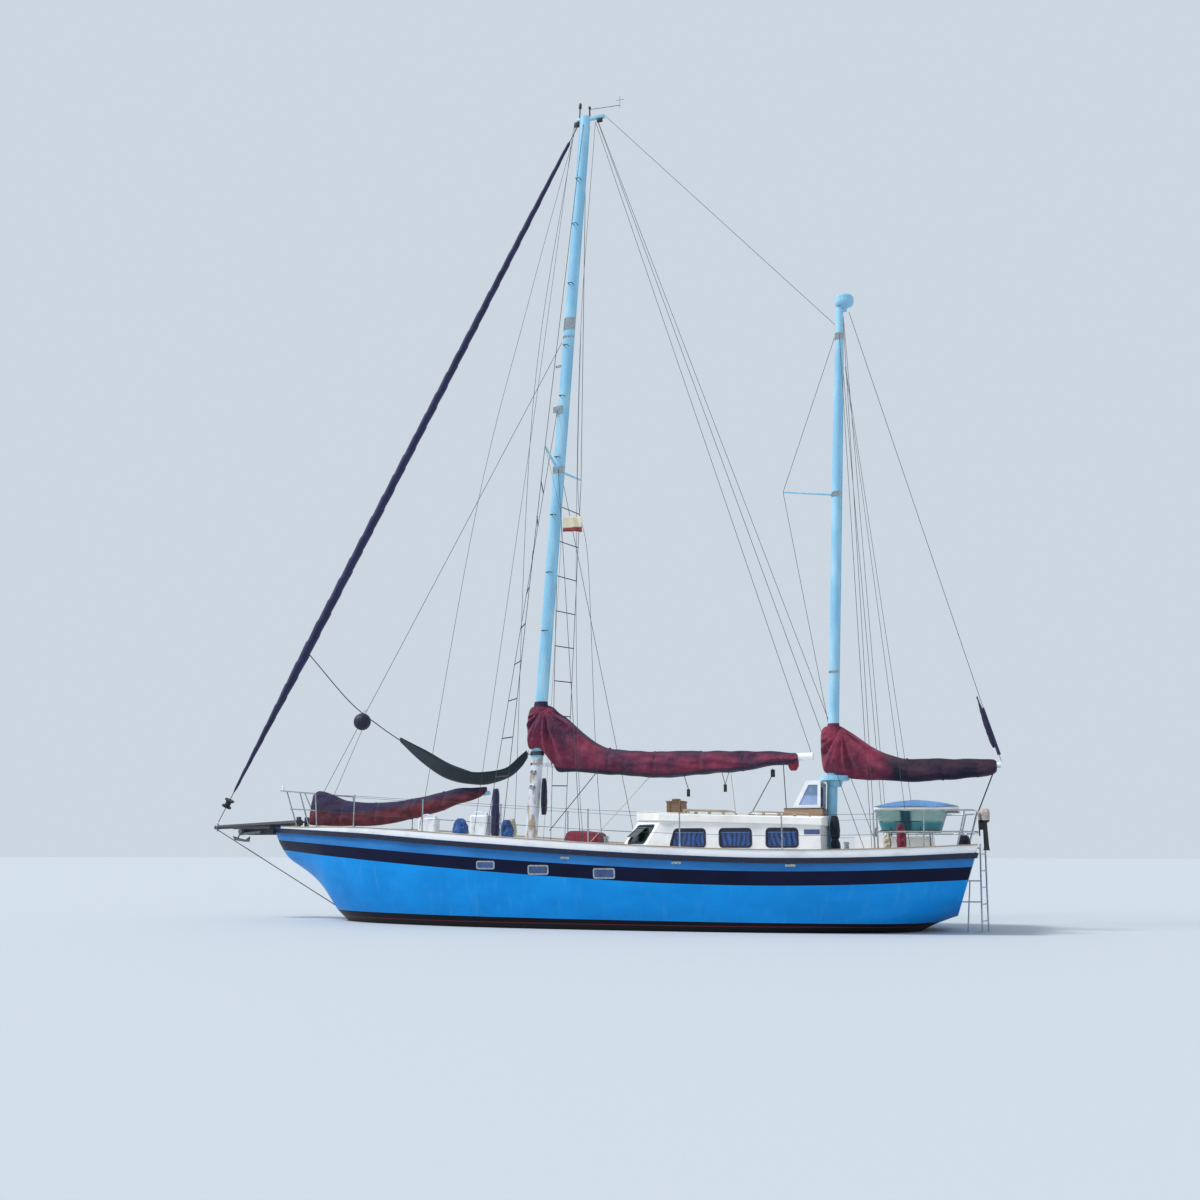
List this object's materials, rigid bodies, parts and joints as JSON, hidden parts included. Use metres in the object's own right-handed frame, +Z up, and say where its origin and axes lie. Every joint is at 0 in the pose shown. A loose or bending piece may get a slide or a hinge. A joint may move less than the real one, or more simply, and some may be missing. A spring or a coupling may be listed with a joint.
{
  "type": "sailing yacht",
  "caption": "Ketch-rigged cruising yacht with a long keel, raised deckhouse, bowsprit, furled headsail, covered booms and a canvas cockpit shelter.",
  "frame": {"origin": "on the centreline at the waterline, 7 m aft of the stem head", "axes": "+X forward to the bow, +Y to port, +Z up; z = 0 is the water's surface when she floats"},
  "size_m": [16.0014, 4.1288, 19.4006],
  "materials": {
    "hull_paint": "gloss, azure blue with a navy stripe and a dark boot top",
    "deck_paint": "matt non-slip paint, off white",
    "white_paint": "satin, white",
    "navy_paint": "satin, navy",
    "antifouling": "matt antifouling paint, near black",
    "bronze": "dull bronze",
    "tinted_glass": "dark tinted glazing",
    "varnished_wood": "varnished, brown",
    "spar_paint": "satin paint, pale turquoise",
    "maroon_canvas": "matt woven canvas, maroon",
    "navy_canvas": "matt sailcloth, navy",
    "green_canvas": "matt cloth, dark green",
    "grey_canvas": "matt canvas, grey green with a white band and a blue crown",
    "black_plastic": "matt, black",
    "stainless_steel": "polished tube",
    "wire": "stranded wire, dull",
    "galvanised_steel": "galvanised, dull grey"
  },
  "bodies": {
    "yacht": {"hull": "hull_paint", "hull_stern": "hull_paint", "deck": "deck_paint", "bulwark_port": "white_paint", "bulwark_starboard": "white_paint", "bulwark_stern": "white_paint", "rub_rail": "navy_paint", "keel": "antifouling", "deckhouse": "white_paint", "side_glazing_port": "tinted_glass", "side_glazing_starboard": "tinted_glass", "deckhouse_roof": "white_paint", "companion_coaming": "varnished_wood", "companion_hood": "white_paint", "roof_box": "varnished_wood", "cockpit_coaming": "white_paint", "wheel_pedestal": "white_paint", "cockpit_shelter": "grey_canvas", "shelter_frame": "stainless_steel", "main_mast": "spar_paint", "mizzen_mast": "spar_paint", "spreader_port": "spar_paint", "spreader_starboard": "spar_paint", "jumper_strut": "spar_paint", "radome": "spar_paint", "mizzen_collar": "spar_paint", "mainsail_collar": "maroon_canvas", "mizzen_sail_collar": "maroon_canvas", "cutter_stay": "wire", "anchor_ball": "black_plastic", "hammock": "green_canvas", "bowsprit": "varnished_wood", "bobstay": "wire", "furled_genoa": "navy_canvas", "furler_drum": "black_plastic", "pulpit": "stainless_steel", "anchor": "galvanised_steel", "cap_shroud_port": "wire", "cap_shroud_starboard": "wire", "backstay_port": "wire", "backstay_starboard": "wire", "mizzen_shroud_port": "wire", "mizzen_shroud_starboard": "wire", "triatic_stay": "wire", "pushpit": "stainless_steel", "stern_ladder": "stainless_steel", "skylight_cover": "maroon_canvas", "stowed_outboard": "black_plastic"},
    "rudder_body": {"rudder": "antifouling"},
    "wheel_body": {"steering_wheel": "varnished_wood"},
    "propeller_body": {"propeller": "bronze"},
    "hatch_lid": {"roof_hatch": "white_paint"},
    "main_boom_body": {"main_boom": "white_paint", "mainsail_cover": "maroon_canvas", "main_topping_lift": "wire"},
    "mizzen_boom_body": {"mizzen_boom": "white_paint", "mizzen_cover": "maroon_canvas", "mizzen_topping_lift": "navy_canvas"},
    "staysail_boom_body": {"staysail_boom": "spar_paint", "staysail_cover": "maroon_canvas"}
  },
  "joints": [
    {"name": "rudder_turn", "type": "hinge", "parent": "yacht", "child": "rudder_body", "pos_m": [-4.7826, 0, -1], "axis": [-0.4571, 0, 0.8894], "range_deg": [-35, 35]},
    {"name": "wheel_turn", "type": "hinge", "parent": "yacht", "child": "wheel_body", "pos_m": [-5.29, 0, 1.43], "axis": [1, 0, 0], "range_deg": [-420, 420]},
    {"name": "propeller_spin", "type": "hinge", "parent": "yacht", "child": "propeller_body", "pos_m": [-4.56, 0, -0.95], "axis": [1, 0, 0], "continuous": true},
    {"name": "roof_hatch_lid", "type": "hinge", "parent": "yacht", "child": "hatch_lid", "pos_m": [-3.094, 0, 2.031], "axis": [0, 1, 0], "range_deg": [0, 80]},
    {"name": "main_boom_swing", "type": "hinge", "parent": "yacht", "child": "main_boom_body", "pos_m": [0.915, 0, 3.02], "axis": [-0.0647, 0, 0.9979], "range_deg": [-60, 60]},
    {"name": "mizzen_boom_swing", "type": "hinge", "parent": "yacht", "child": "mizzen_boom_body", "pos_m": [-4.695, 0, 2.79], "axis": [-0.0587, 0, 0.9983], "range_deg": [-32, 32]},
    {"name": "staysail_boom_swing", "type": "hinge", "parent": "yacht", "child": "staysail_boom_body", "pos_m": [6.307, 0, 1.858], "axis": [-0.484, 0, 0.8751], "range_deg": [-30, 30]}
  ],
  "couplings": [
    {"joint": "wheel_turn", "follows": "rudder_turn", "ratio": 12}
  ]
}
